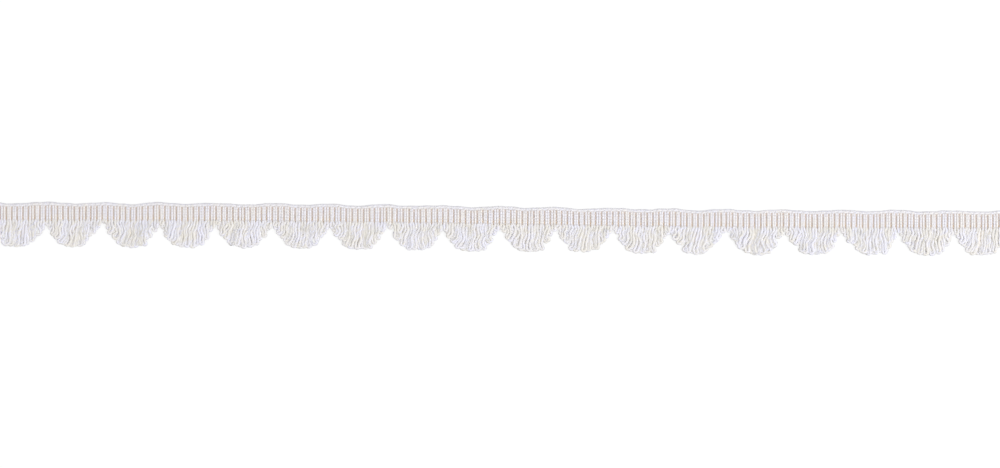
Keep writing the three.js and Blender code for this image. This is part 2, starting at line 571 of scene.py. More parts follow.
def strand_mesh(name: str, strands: list[Strand]) -> bpy.types.Mesh:
    """Make a mesh of centre lines.

    Args:
        name: the mesh's name.
        strands: the centre lines, none of which joins another.

    Returns:
        The mesh, with along, swell, its share of painted shade between strands, phase, shade and height kept
        on its points.
    """
    mesh = bpy.data.meshes.new(name)
    points = np.concatenate([strand.points for strand in strands])
    counts = [len(strand.points) for strand in strands]
    ends = np.cumsum(counts)
    links = [(i, i + 1) for i in range(len(points) - 1) if i + 1 not in ends]
    mesh.from_pydata(points.tolist(), links, [])
    kept = {
        "along": np.concatenate([strand.along() for strand in strands]),
        "swell": np.concatenate([strand.swell for strand in strands]),
        "gap_shade_share": np.concatenate([strand.gap_shade_share for strand in strands]),
        "phase": np.repeat([strand.phase for strand in strands], counts),
        "shade": np.repeat([strand.shade for strand in strands], counts),
        "height": points[:, 2],
    }
    for label, values in kept.items():
        mesh.attributes.new(label, "FLOAT", "POINT").data.foreach_set("value", values)
    return mesh


@dataclass
class Spinner:
    """Makes finished pieces out of centre lines, all with one node tree."""

    tree: YarnTree
    lie: Lie

    def spin(
        self, name: str, strands: list[Strand], yarn: Yarn, finish: bpy.types.Material, row: Row = Row()
    ) -> bpy.types.Object:
        """Make one piece of yarn.

        Args:
            name: the piece's name.
            strands: the yarns' centre lines, in the flat frame.
            yarn: the yarn's make.
            finish: its material.
            row: the copies to make of all the lines.

        Returns:
            The piece, settled as the trim lies.
        """
        values = {
            "Yarn Radius": yarn.radius,
            "Sides": yarn.sides,
            "Plies": yarn.plies,
            "Groove": yarn.groove,
            "Lay": yarn.lay * yarn.twist.value,
            "Flatten": yarn.flatten,
            "Copies": row.count,
            "First Copy": row.first,
            "Copy Jitter": row.jitter,
            "Copy Step": row.step,
            "Copy Turn": row.turn,
            "Copy Stretch": row.stretch,
            "Seed": len(name),
            "Material": finish,
        }
        return placed(name, self.tree.run(name, strand_mesh(name + "_lines", strands), values), self.lie)


def placed(name: str, mesh: bpy.types.Mesh, lie: Lie) -> bpy.types.Object:
    """Return a new object at the origin whose mesh is settled as the trim lies."""
    lie.settle(mesh)
    return linked(name, mesh)


def declare(piece: bpy.types.Object, node: str) -> None:
    """Say that a piece moves with the trim and stands for a node.

    Args:
        piece: the finished piece.
        node: the node that it stands for.
    """
    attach(piece, "root")
    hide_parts(node)
    log.info("%s: %d faces", piece.name, len(piece.data.polygons))


@dataclass(frozen=True)
class YarnFinish:
    """Soft spun yarn: cool and warm whites in turn, with warm painted shade in its ply grooves and low
    between the strands.
    """

    name: str
    cool: Colour
    warm: Colour
    # The hollow colour is painted shade in the ply grooves mixed with darker fibres; the seam colour is
    # painted shade low between strands.
    groove_shade_and_fibre_tone: Colour
    strand_gap_shade: Colour
    strand_gap_shade_low: float = 0.8 * MM
    strand_gap_shade_high: float = 1.85 * MM
    groove_shade_share: float = 0.55
    own_step: float = 40.0
    fibre_rows: float = 5.0
    fibre_run: float = 900.0
    fibre_detail: float = 3.0
    fibre_depth: float = 0.4
    fibre_bump: float = 0.8
    fibre_height: float = 0.06 * MM
    patch_rows: float = 0.6
    patch_run: float = 160.0
    patch_detail: float = 2.0
    patch_span: Span = (0.3, 0.7)
    noise_roughness: float = 0.6
    shade_share: float = 0.4
    drift_scale: float = 110.0
    drift_detail: float = 1.0
    drift_share: float = 2.0
    roughness: float = 0.85
    specular: float = 0.3
    sheen: float = 0.08
    sheen_roughness: float = 0.5
    softness: float = 0.3
    soft_depth: float = 0.8 * MM
    soft_radius: Colour = (0.9, 0.9, 1.0)

    def noise(
        self, nodes: MaterialTree, rows: float, run: float, own: Any, detail: float
    ) -> bpy.types.NodeSocket:
        """Make noise that follows the yarn and turns with its plies.

        Args:
            nodes: the material's tree.
            rows: how fine the noise is around the yarn.
            run: how fine it is along the yarn.
            own: what sets one yarn's noise apart from another's.
            detail: how many finer layers it has.

        Returns:
            The noise, from 0 to 1.
        """
        girth = nodes.attribute("girth", "Vector")
        place = nodes.vector(
            nodes.math("MULTIPLY_ADD", nodes.part(girth, "X"), rows, own),
            nodes.math("MULTIPLY_ADD", nodes.part(girth, "Y"), rows, own),
            nodes.math("MULTIPLY_ADD", nodes.attribute("along"), run, own),
        )
        return nodes.noise(place, 1.0, detail, self.noise_roughness)

    def build(self) -> bpy.types.Material:
        """Build the material.

        Returns:
            The material, which reads the attributes that the yarn carries and where it lies.
        """
        nodes = MaterialTree(self.name)
        shade = nodes.math("ADD", nodes.attribute("shade"), nodes.attribute("copy_shade"))
        own = nodes.math("MULTIPLY", shade, self.own_step)
        fibres = self.noise(nodes, self.fibre_rows, self.fibre_run, own, self.fibre_detail)
        patches = self.noise(nodes, self.patch_rows, self.patch_run, own, self.patch_detail)
        drift = nodes.noise(nodes.place(), self.drift_scale, self.drift_detail)
        drift = nodes.math("MULTIPLY", nodes.math("SUBTRACT", drift, 0.5), self.drift_share)
        warmth = nodes.ease(patches, *self.patch_span, 0.0, 1.0)
        warmth = nodes.math("MULTIPLY_ADD", shade, self.shade_share, warmth)
        colour = nodes.blend(nodes.math("ADD", warmth, drift), self.cool, self.warm)
        # Darker fibres at random, and painted shade in the grooves between the plies, both draw the colour
        # towards the hollow colour.
        depth = nodes.math("MULTIPLY", fibres, self.fibre_depth)
        depth = nodes.math("MULTIPLY_ADD", nodes.attribute("groove"), self.groove_shade_share, depth)
        colour = nodes.blend(depth, colour, self.groove_shade_and_fibre_tone)
        # Painted shade low between the strands: where the yarn's surface lies low, its colour goes towards
        # the seam colour, as far as its share of painted shade allows.
        height = nodes.part(nodes.place(), "Z")
        gap_shade = nodes.ease(height, self.strand_gap_shade_low, self.strand_gap_shade_high, nodes.attribute("gap_shade_share"), 0.0)
        colour = nodes.blend(gap_shade, colour, self.strand_gap_shade)
        nodes.bump(fibres, self.fibre_bump, self.fibre_height)
        return nodes.dress(
            colour,
            Roughness=self.roughness,
            Specular_IOR_Level=self.specular,
            Sheen_Weight=self.sheen,
            Sheen_Roughness=self.sheen_roughness,
            Subsurface_Weight=self.softness,
            Subsurface_Scale=self.soft_depth,
            Subsurface_Radius=self.soft_radius,
        )


@dataclass(frozen=True)
class GroundFinish:
    """Ground cloth, a fine plain weave: cotton tan and painted gap shade, deeper towards the fringe, pale at
    the selvedge.
    """

    name: str = "tan_ground_painted_gap_shade"
    # The tan is partly the cotton's own and partly painted shade and bounced light deep in the openings
    # between ribs.
    upper: Colour = (0.655, 0.545, 0.47)
    lower: Colour = (0.68, 0.525, 0.38)
    lower_span: Span = (6.6 * MM, 8.2 * MM)
    selvedge: Colour = (0.84, 0.82, 0.84)
    selvedge_span: Span = (1.0 * MM, 1.6 * MM)
    mottle_scale: float = 420.0
    mottle_detail: float = 3.0
    mottle_share: float = 0.3
    mottle_low: float = 0.85
    thread: float = 0.5 * MM
    thread_bump: float = 0.6
    thread_height: float = 0.1 * MM
    roughness: float = 0.9
    sheen: float = 0.2

    def build(self) -> bpy.types.Material:
        """Build the material.

        Returns:
            The material, which reads the cloth's own flat place.
        """
        nodes = MaterialTree(self.name)
        flat = nodes.attribute("flat_place", "Vector")
        along, down = nodes.part(flat, "X"), nodes.part(flat, "Y")
        plain = nodes.blend(nodes.ease(down, *self.lower_span, 0.0, 1.0), self.upper, self.lower)
        plain = nodes.blend(nodes.ease(down, *self.selvedge_span, 1.0, 0.0), plain, self.selvedge)
        mottle = nodes.noise(flat, self.mottle_scale, self.mottle_detail)
        mottle = nodes.math("MULTIPLY_ADD", mottle, self.mottle_share, self.mottle_low)
        tinted = nodes.add("ShaderNodeHueSaturation", Color=plain, Value=mottle)
        waves = []
        for part in (along, down):
            waves.append(nodes.math("SINE", nodes.math("MULTIPLY", part, TURN / self.thread)))
        nodes.bump(nodes.math("MULTIPLY", *waves), self.thread_bump, self.thread_height)
        return nodes.dress(tinted.outputs["Color"], Roughness=self.roughness, Sheen_Weight=self.sheen)


@dataclass(frozen=True)
class ThreadFinish:
    """The fine binding threads: pale, a little glossy, with a short fleck along them."""

    name: str = "binding_thread"
    pale: Colour = (0.97, 0.94, 0.94)
    dull: Colour = (0.56, 0.52, 0.50)
    fleck_scale: float = 900.0
    fleck_detail: float = 2.0
    roughness: float = 0.5
    sheen: float = 0.15

    def build(self) -> bpy.types.Material:
        """Build the material.

        Returns:
            The material, which reads where the thread lies.
        """
        nodes = MaterialTree(self.name)
        fleck = nodes.noise(nodes.place(), self.fleck_scale, self.fleck_detail)
        colour = nodes.blend(fleck, self.pale, self.dull)
        return nodes.dress(colour, Roughness=self.roughness, Sheen_Weight=self.sheen)


def closed_sheet(name: str, face: np.ndarray, rows: int) -> bpy.types.Mesh:
    """Make a thin closed cloth with a flat back.

    Args:
        name: the mesh's name.
        face: the points of its face, row after row along it.
        rows: how many points there are across it.

    Returns:
        The mesh, whose first half of points is its face and whose second half is its back.
    """
    count = len(face)
    steps = count // rows
    faces = []
    for i in range(steps - 1):
        for j in range(rows - 1):
            corner = i * rows + j
            patch = (corner, corner + 1, corner + rows + 1, corner + rows)
            faces.append(patch)
            faces.append(tuple(count + point for point in reversed(patch)))
    rim = list(range(rows))
    rim += [i * rows + rows - 1 for i in range(1, steps)]
    rim += [(steps - 1) * rows + j for j in reversed(range(rows - 1))]
    rim += [i * rows for i in reversed(range(1, steps - 1))]
    for here, there in zip(rim, rim[1:] + rim[:1]):
        faces.append((there, here, count + here, count + there))
    mesh = bpy.data.meshes.new(name)
    mesh.from_pydata(np.concatenate([face, face * (1, 1, 0)]).tolist(), [], faces)
    return mesh


@dataclass
class Heading:
    """The woven band: tan ground, ribs of paired yarn joined across the openings, warps and an edge cord."""

    lie: Lie
    spinner: Spinner
    # The ribs' yarn
    yarn: Yarn = Yarn(0.77 * MM, sides=12, plies=3, groove=0.14, lay=5.2 * MM, twist=Twist.Z, flatten=0.32)
    yarn_height: float = 1.27 * MM
    leg_offset: float = 0.63 * MM
    leg_end: float = 10.9 * MM
    leg_step: float = 0.54 * MM
    leg_rise: float = 1.5 * MM
    turn_down: float = 1.8 * MM
    turn_height: float = 1.0 * MM
    turn_steps: int = 10
    turn_square: float = 0.75
    turn_swell: float = 0.1
    swell_span: Span = (0.5 * MM, 1.7 * MM)
    pinch: float = 0.14
    pinch_reach: float = 0.28 * MM
    tuck: float = 0.16
    tuck_run: float = 0.9 * MM
    rib_turn: float = 0.9
    rib_stretch: float = 0.028
    rib_jitter: float = 0.27 * MM
    end_bend: Place = (0.5 * MM, 0.9 * MM, 0.0)
    end_shade: float = 0.1
    # The edge cord
    cord: Yarn = Yarn(0.42 * MM, sides=8, plies=2, groove=0.2, lay=2.6 * MM, twist=Twist.S, flatten=0.0)
    cord_out: float = 0.15 * MM
    cord_height: float = 0.85 * MM
    cord_wave: float = 0.12 * MM
    cord_slack: float = 0.11 * MM
    cord_swell: Span = (0.75, 1.1)
    cord_step: float = 0.55 * MM
    cord_seed: int = 31
    # The warps
    rows: int = 6
    first_row: float = 1.3 * MM
    row_step: float = 1.6 * MM
    thread_radius: float = 0.15 * MM
    thread_sides: int = 5
    thread_steps: int = 8
    over_share: float = 0.92
    seam_share: float = 0.5
    seam_until: float = 0.13
    dip_span: Span = (0.3, 0.48)
    bound_lift: float = 0.45 * MM
    waver: float = 0.3 * MM
    waver_scale: float = 240.0
    # The ground
    ground_top: float = 1.2 * MM
    ground_down: float = 10.6 * MM
    ground_steps: tuple[int, int] = (4, 14)
    ground_wave: float = 0.06
    ground_fall: float = 0.15
    fall_run: float = 1.0 * MM
    cut_height: float = 0.35 * MM
    cut_run: float = 0.9 * MM

    def pinched(self, down: np.ndarray) -> np.ndarray:
        """Draw the yarn in where a row of warp crosses it and at its tucked end.

        Args:
            down: how far below the selvedge each point is.

        Returns:
            Its swell at each point.
        """
        row = (down - self.first_row) / self.row_step
        held = np.exp(-(((row - np.round(row)) * self.row_step / self.pinch_reach) ** 2))
        held *= (row > -0.5) & (row < self.rows - 0.5)
        return 1 - self.pinch * held - self.tuck * ramp(down, self.leg_end - self.tuck_run, self.leg_end)

    def leg(self, x: float) -> np.ndarray:
        """Run one leg of a hairpin.

        Args:
            x: where along the trim it is.

        Returns:
            Its points, from its tucked end up to the turn.
        """
        steps = round((self.leg_end - self.turn_down) / self.leg_step)
        down = np.linspace(self.leg_end, self.turn_down, steps + 1)
        risen = ramp(down, self.turn_down, self.turn_down + self.leg_rise)
        height = lerp(self.turn_height, self.yarn_height, risen)
        return np.stack([np.full_like(down, x), self.lie.selvedge_y - down, height], axis=1)

    def hairpin(self) -> Strand:
        """Run the yarn around one opening: up one rib, over the opening's top and down the next rib.

        Returns:
            Its strand, for an opening in the middle of the trim.
        """
        reach = self.lie.rib_pitch / 2 - self.leg_offset
        up = self.leg(-reach)
        angles = np.linspace(math.pi, 0, self.turn_steps + 1)[1:-1]
        across = np.sign(np.cos(angles)) * np.abs(np.cos(angles)) ** self.turn_square
        rise = reach * np.sin(angles) ** self.turn_square
        level = np.full_like(angles, self.turn_height)
        over = np.stack([reach * across, self.lie.selvedge_y - self.turn_down + rise, level], axis=1)
        points = np.concatenate([up, over, up[::-1] * (-1, 1, 1)])
        down = self.lie.selvedge_y - points[:, 1]
        swollen = self.turn_swell * (1 - ramp(down, *self.swell_span))
        return Strand(points, self.pinched(down) + swollen, np.zeros_like(down), 0.0, 0.0)

    def ribs(self, finish: bpy.types.Material) -> list[bpy.types.Object]:
        """Make the ribs' yarn.

        Args:
            finish: its material.

        Returns:
            One piece of all the hairpins, and one of the two end yarns.
        """
        lie = self.lie
        row = Row(
            count=lie.ribs - 1,
            first=lie.start_x + lie.rib_pitch,
            step=lie.rib_pitch,
            turn=math.radians(self.rib_turn),
            stretch=self.rib_stretch,
            jitter=self.rib_jitter,
        )
        ends = []
        for side, x in enumerate((lie.start_x, lie.start_x + lie.length)):
            inward = 1 - 2 * side
            leg = self.leg(x + inward * (lie.rib_pitch / 2 - self.leg_offset))
            top = leg[-1] + np.array(self.end_bend) * (inward, 1, 1)
            leg = np.concatenate([leg, [lerp(leg[-1], top, 0.5), top]])
            down = lie.selvedge_y - leg[:, 1]
            ends.append(Strand(leg, self.pinched(down), np.zeros_like(down), float(side), self.end_shade))
        return [
            self.spinner.spin("heading_ribs", [self.hairpin()], self.yarn, finish, row),
            self.spinner.spin("heading_end_yarns", ends, self.yarn, finish),
        ]

    def edge(self, finish: bpy.types.Material) -> bpy.types.Object:
        """Make the cord that runs along the selvedge beyond the yarns' turns.

        Args:
            finish: its material.

        Returns:
            The cord as one piece.
        """
        lie = self.lie
        x = np.linspace(lie.start_x, lie.start_x + lie.length, round(lie.length / self.cord_step))
        draw = np.random.default_rng(self.cord_seed)
        ties = np.linspace(x[0], x[-1], lie.ribs + 1)
        loose = np.interp(x, ties, draw.normal(0, self.cord_slack, len(ties)))
        swell = np.interp(x, ties, draw.uniform(*self.cord_swell, len(ties)))
        y = lie.selvedge_y + self.cord_out + loose
        z = self.cord_height + self.cord_wave * np.cos(TURN * (x - lie.start_x) / lie.rib_pitch)
        cord = Strand(np.stack([x, y, z], axis=1), swell, np.zeros_like(x), 0.0, 0.0)
        return self.spinner.spin("heading_edge_cord", [cord], self.cord, finish)

    def warps(self, finish: bpy.types.Material) -> bpy.types.Object:
        """Make the rows of warp thread.

        Args:
            finish: their material.

        Returns:
            All the rows as one piece.
        """
        lie = self.lie
        values = {
            "Rib Pitch": lie.rib_pitch,
            "Start": lie.start_x,
            "Length": lie.length,
            "Steps": lie.ribs * self.thread_steps + 1,
            "Rows": self.rows,
            "Row Step": self.row_step,
            "First Row": lie.selvedge_y - self.first_row,
            "Over": self.yarn_height + self.over_share * self.yarn.radius * (1 - self.yarn.flatten),
            "Seam": self.yarn_height + self.seam_share * self.yarn.radius,
            "Under": self.ground_top + self.thread_radius,
            "Bound Lift": self.bound_lift,
            "Seam Share": self.seam_until,
            "Edge Share": self.dip_span[0],
            "Dip Share": self.dip_span[1],
            "Waver": self.waver,
            "Waver Scale": self.waver_scale,
            "Radius": self.thread_radius,
            "Sides": self.thread_sides,
            "Material": finish,
        }
        return placed("heading_warps", WarpTree().run("heading_warps", None, values), lie)

    def ground(self, finish: bpy.types.Material) -> bpy.types.Object:
        """Make the ground cloth.

        Args:
            finish: its material.

        Returns:
            The cloth, a thin closed sheet with its own flat place kept on it.
        """
        lie = self.lie
        along_steps, across_steps = self.ground_steps
        along = np.linspace(0, lie.length, lie.ribs * along_steps + 1)
        down = np.linspace(0, self.ground_down, across_steps + 1)
        flat = np.array([(x, y) for x in along for y in down])
        top = self.ground_top * (1 - self.ground_wave * np.cos(TURN * flat[:, 0] / lie.rib_pitch))
        fallen = ramp(flat[:, 1], self.ground_down - self.fall_run, self.ground_down)
        top = top * (1 - self.ground_fall * fallen)
        cut = np.minimum(flat[:, 0], lie.length - flat[:, 0])
        top = lerp(self.cut_height, top, ramp(cut, 0, self.cut_run))
        face = np.stack([lie.start_x + flat[:, 0], lie.selvedge_y - flat[:, 1], top], axis=1)
        mesh = closed_sheet("heading_ground", face, len(down))
        kept = np.column_stack([np.concatenate([flat, flat]), np.zeros(2 * len(flat))])
        mesh.attributes.new("flat_place", "FLOAT_VECTOR", "POINT").data.foreach_set("vector", kept.ravel())
        mesh.materials.append(finish)
        return placed("heading_ground", mesh, lie)


@dataclass(frozen=True)
class Scallop:
    """One fan's outline: where its deepest part starts and ends, its depth, and its loops' sway and swirl.

    Places and depths are in millimetres from the fan's left end and from the selvedge, and swirl in degrees.
    """

    deep_from: float
    deep_to: float
    depth: float
    sway: float
    lean: float = -0.7
    swirl: float = -4.0
    wide_chance: float = 0.12
    shelf: float = 0.0
    notch: float = 13.8
    power: float = 0.6

    def reach(self, along: float, pitch: float) -> float:
        """Follow the outline, all in metres.

        Args:
            along: a place along the fan.
            pitch: the fan's whole length.

        Returns:
            How far below the selvedge the outline is there.
        """
        onward = (pitch - along) / (pitch - self.deep_to * MM)
        nearest = min(along / (self.deep_from * MM), onward)
        share = min(max(nearest, 0.0), 1.0) ** self.power
        dropped = self.shelf * ramp(onward, 0, 1) if onward < 1 else 0.0
        return (lerp(self.notch, self.depth, share) - dropped) * MM


SCALLOPS = (
    Scallop(8.4, 25.6, 26.2, 0, shelf=1.0),
    Scallop(8.4, 24.0, 26.1, -0.4, lean=-1.3, swirl=-7, shelf=2.2),
    Scallop(9.4, 26.6, 26.4, 0.2, lean=-0.6, swirl=-4, shelf=2.2),
    Scallop(7.8, 25.4, 26.4, -0.2),
    Scallop(7.8, 24.2, 26.3, -0.3, lean=-0.8),
    Scallop(8.4, 25.2, 26.2, -0.2),
    Scallop(9.0, 25.8, 26.4, 0),
    Scallop(9.9, 25.8, 26.5, 0.2, lean=0.0, swirl=0),
    Scallop(7.8, 25.8, 26.7, -0.3),
    Scallop(9.0, 25.8, 26.4, 0.1, lean=0.0, swirl=0),
    Scallop(8.4, 24.6, 26.2, -0.3, lean=-1.4, swirl=-8),
    Scallop(9.0, 26.6, 26.5, 0, lean=-0.6, swirl=-3, shelf=1.6),
    Scallop(8.4, 20.0, 26.7, -0.1, lean=-1.2, swirl=16, wide_chance=0.4),
    Scallop(9.6, 26.8, 26.5, 0.3, lean=0.0, swirl=8, wide_chance=0.4),
    Scallop(9.9, 27.8, 26.3, 0.2, lean=0.2, swirl=0),
    Scallop(11.4, 28.6, 26.5, 0.5, lean=0.3, swirl=0, shelf=0.6),
    Scallop(9.9, 27.2, 26.5, 0.3),
    Scallop(8.4, 25.8, 26.3, 0),
)


@dataclass(frozen=True)
class LoopForm:
    """One loop of a fan: where it ends, its splay, half its width, its lift and its tuck behind the outline.

    All are in millimetres, but for the splay in degrees.
    """

    end: float
    splay: float
    width: float
    lift: float
    tuck: float

    def between(self, other: "LoopForm") -> "LoopForm":
        """Return the form half way between this one and another."""
        return LoopForm(*(lerp(here, there, 0.5) for here, there in zip(astuple(self), astuple(other))))


LOOPS = (
    LoopForm(end=1.1, splay=-16, width=0.7, lift=0.35, tuck=3.7),
    LoopForm(end=3.5, splay=-36, width=0.8, lift=0.25, tuck=2.2),
    LoopForm(end=5.7, splay=-40, width=0.86, lift=0.15, tuck=2.6),
    LoopForm(end=8.9, splay=-30, width=0.95, lift=0.05, tuck=1.8),
    LoopForm(end=12.9, splay=-15, width=1.05, lift=0, tuck=0.4),
    LoopForm(end=17.4, splay=2, width=1.05, lift=0, tuck=0),
    LoopForm(end=21.9, splay=16, width=1.05, lift=0, tuck=0.1),
    LoopForm(end=26.2, splay=28, width=0.85, lift=0.1, tuck=1.0),
    LoopForm(end=30.0, splay=36, width=0.75, lift=0.2, tuck=1.6),
    LoopForm(end=32.8, splay=16, width=0.7, lift=0.35, tuck=3.0),
)


@dataclass(frozen=True)
class Layer:
    """One layer of a fan's loops: where it starts, its heights, its overlap and how far short it stops."""

    root_down: float
    root_height: float
    height: float
    tip_height: float
    shingle: float
    short: float
    flank_short: float


@dataclass
class Fan:
    """One fan of the fringe: ten loops of yarn that run out of the heading's ribs, and the loops behind them.

    A share is of the way from a loop's root to its turn.
    """

    lie: Lie
    spinner: Spinner
    number: int
    scallop: Scallop
    front: Layer = Layer(
        root_down=9.7 * MM,
        root_height=1.32 * MM,
        height=1.35 * MM,
        tip_height=1.0 * MM,
        shingle=0.3 * MM,
        short=0.1 * MM,
        flank_short=0.0,
    )
    back: Layer = Layer(
        root_down=10.2 * MM,
        root_height=1.0 * MM,
        height=1.05 * MM,
        tip_height=0.8 * MM,
        shingle=0.2 * MM,
        short=0.25 * MM,
        flank_short=0.8 * MM,
    )
    yarn: Yarn = Yarn(0.66 * MM, sides=12, plies=3, groove=0.16, lay=6.5 * MM, twist=Twist.Z, flatten=0.36)
    seed: int = 500
    # Where a loop runs
    step: float = 0.5 * MM
    fewest_steps: int = 5
    root_handle: float = 0.42
    flank_handle: float = 0.2
    tip_handle: float = 0.36
    full_splay: float = 40.0
    end_stray: float = 0.4 * MM
    depth_stray: Span = (0.13 * MM, 0.45 * MM)
    splay_stray: float = 7.0
    # Its legs and its turn
    leg_offset: float = 0.63 * MM
    spread_offset: float = 0.85 * MM
    spread_run: float = 1.1 * MM
    widens_from: float = 0.45
    width_range: Span = (0.9, 1.1)
    wide: float = 1.8
    turn_share: float = 0.8
    turn_steps: int = 11
    # Its waves
    waves_from: float = 11.0 * MM
    wobble: float = 0.72 * MM
    wobble_range: Span = (0.6, 1.1)
    wobble_turns: float = 1.1
    comb_shift: float = 0.5
    comb_stray: float = 0.06
    own_wobble: float = 0.3 * MM
    own_turns: Span = (1.0, 2.3)
    hush: float = 0.7
    # Its heights, its thickness and its shelter
    root_run: float = 4 * MM
    falls_from: float = 0.6
    lift_stray: float = 0.24 * MM
    lift_run: float = 3 * MM
    shingle_span: Span = (0.15, 0.65)
    root_swell: float = 1.26
    # Its heights, its thickness and the painted shade between its strands
    full_swell: float = 1.4
    swell_range: Span = (0.94, 1.06)
    gap_shade_span: Span = (0.65, 0.95)
    flank_shade_cut: float = 0.7

    @property
    def left(self) -> float:
        """Return where along the trim the fan starts."""
        return self.lie.start_x + (self.number - 1) * self.lie.fan_pitch

    @property
    def bend(self) -> np.ndarray:
        """Return the angles of the points around a loop's turn."""
        return np.linspace(0, math.pi, self.turn_steps + 1)[1:-1]

    def ending(
        self, form: LoopForm, layer: Layer, flank: float, draw: np.random.Generator
    ) -> tuple[np.ndarray, np.ndarray, float]:
        """Settle how one loop ends.

        Args:
            form: how such a loop ends and lies.
            layer: the layer that it belongs to.
            flank: how far out on the fan's flank it is, from 0 to 1.
            draw: the fan's own random numbers.

        Returns:
            The centre of its turn, as along and down, the direction in which it ends, and half its width.
        """
        pitch = self.lie.fan_pitch
        along = form.end * MM + draw.normal(0, self.end_stray)
        along += self.scallop.lean * MM * math.sin(math.pi * form.end * MM / pitch)
        deep = self.scallop.reach(along, pitch) - form.tuck * MM
        deep -= layer.short + layer.flank_short * flank + draw.normal(0, lerp(*self.depth_stray, flank))
        angle = math.radians(form.splay + self.scallop.swirl + draw.normal(0, self.splay_stray))
        pointing = np.array([math.sin(angle), math.cos(angle)])
        width = form.width * MM * draw.uniform(*self.width_range)
        if draw.random() < self.scallop.wide_chance:
            width *= self.wide
        end = np.array([self.left + along + self.scallop.sway * MM, deep])
        inward = self.turn_share * width + self.yarn.radius * self.full_swell
        return end - pointing * inward, pointing, width

    def spine(
        self, root: np.ndarray, tip: np.ndarray, pointing: np.ndarray, flank: float
    ) -> tuple[np.ndarray, np.ndarray]:
        """Run a loop's middle line from its root to its tip.

        Args:
            root: where it leaves the heading, as along and down.
            tip: the centre of its turn.
            pointing: the direction in which it ends.
            flank: how far out on the fan's flank it is, from 0 to 1. There it leaves the heading aslant.

        Returns:
            Its points, and the direction to the right of it at each of them.
        """
        reach = np.linalg.norm(tip - root)
        leaving = root + np.array([0, lerp(self.root_handle, self.flank_handle, flank) * reach])
        coming = tip - pointing * self.tip_handle * reach
        share = np.linspace(0, 1, max(round(reach / self.step), self.fewest_steps) + 1)[:, None]
        rest = 1 - share
        points = rest**3 * root + 3 * rest**2 * share * leaving
        points = points + 3 * rest * share**2 * coming + share**3 * tip
        heading = np.gradient(points, axis=0)
        heading /= np.linalg.norm(heading, axis=1)[:, None]
        return points, np.stack([heading[:, 1], -heading[:, 0]], axis=1)

    def wave(self, share: np.ndarray, size: float, turns: float, start: float) -> np.ndarray:
        """Return a slow sideways wave, with its number of turns and its start, that is still at both ends."""
        return size * np.sin(TURN * (share * turns + start)) * np.sin(math.pi * share) ** self.hush

    def heights(
        self, form: LoopForm, layer: Layer, share: np.ndarray, travel: np.ndarray, draw: np.random.Generator
    ) -> np.ndarray:
        """Settle how high one loop lies.

        Args:
            form: how such a loop ends and lies.
            layer: the layer that it belongs to.
            share: the share of the way at each point of a leg.
            travel: how far that is.
            draw: the fan's own random numbers.

        Returns:
            The heights down one leg, round the turn and up the other leg, which lies over its neighbour's.
        """
        level = lerp(layer.root_height, layer.height, ramp(travel, 0, self.root_run))
        level = lerp(level, layer.tip_height, ramp(share, self.falls_from, 1))
        lift = form.lift * MM + draw.uniform(-self.lift_stray, self.lift_stray)
        level = level + lift * ramp(travel, 0, self.lift_run)
        raised = layer.shingle * ramp(share, *self.shingle_span)
        over = level[-1] + raised[-1] * (1 - np.cos(self.bend)) / 2
        return np.concatenate([level, over, (level + raised)[::-1]])

    def loop(
        self, root_along: float, form: LoopForm, layer: Layer, combed: float, draw: np.random.Generator
    ) -> Strand:
        """Make one loop.

        Args:
            root_along: where along the fan it leaves the heading.
            form: how such a loop ends and lies.
            layer: the layer that it belongs to.
            combed: where in its wave the whole fan starts.
            draw: the fan's own random numbers.

        Returns:
            The loop's centre line: down one leg, round its turn and up the other.
        """
        root = np.array([self.left + root_along, layer.root_down])
        flank = min(abs(form.splay) / self.full_splay, 1.0)
        tip, pointing, width = self.ending(form, layer, flank, draw)
        points, right = self.spine(root, tip, pointing, flank)
        share = np.linspace(0, 1, len(points))
        travel = share * np.linalg.norm(tip - root)
        start = combed + self.comb_shift * root_along / self.lie.fan_pitch + draw.normal(0, self.comb_stray)
        calm = ramp(travel[-1], 0, self.waves_from)
        swing = self.wobble * calm * draw.uniform(*self.wobble_range)
        points = points + right * self.wave(share, swing, self.wobble_turns, start)[:, None]
        offset = lerp(self.leg_offset, self.spread_offset, ramp(travel, 0, self.spread_run))
        offset = lerp(offset, width, ramp(share, self.widens_from, 1))
        legs = []
        for side in (-1, 1):
            own = self.wave(share, self.own_wobble * calm, draw.uniform(*self.own_turns), draw.random())
            legs.append(points + right * (side * offset + own)[:, None])
        bend = self.bend[:, None]
        around = tip - right[-1] * width * np.cos(bend) + pointing * self.turn_share * width * np.sin(bend)
        flat = np.concatenate([legs[0], around, legs[1][::-1]])
        height = self.heights(form, layer, share, travel, draw)
        place = np.stack([flat[:, 0], self.lie.selvedge_y - flat[:, 1], height], axis=1)
        travelled = np.concatenate([travel, np.full(len(bend), travel[-1]), travel[::-1]])
        swell = lerp(self.root_swell, self.full_swell, ramp(travelled, 0, self.spread_run))
        # Painted shade between strands: full along a leg to past half way, fading out before the turn, and
        # weaker on the flanks.
        leg_gap_shade = (1 - ramp(share, *self.gap_shade_span)) * (1 - self.flank_shade_cut * flank)
        gap_shade_share = np.concatenate([leg_gap_shade, np.zeros(len(bend)), leg_gap_shade[::-1]])
        swell = swell * draw.uniform(*self.swell_range)
        return Strand(place, swell, gap_shade_share, draw.uniform(0, TURN), draw.uniform(-1, 1))

    def build(self, finish: bpy.types.Material) -> bpy.types.Object:
        """Make the fan's loops.

        Args:
            finish: their material.

        Returns:
            All the loops as one piece.
        """
        draw = np.random.default_rng(self.seed + self.number)
        pitch = self.lie.rib_pitch
        combed = draw.random()
        strands = []
        for i, form in enumerate(LOOPS):
            strands.append(self.loop((i + 0.5) * pitch, form, self.front, combed, draw))
        for i, (here, there) in enumerate(zip(LOOPS, LOOPS[1:])):
            strands.append(self.loop((i + 1) * pitch, here.between(there), self.back, combed, draw))
        return self.spinner.spin(f"fringe_{self.number:02d}", strands, self.yarn, finish)


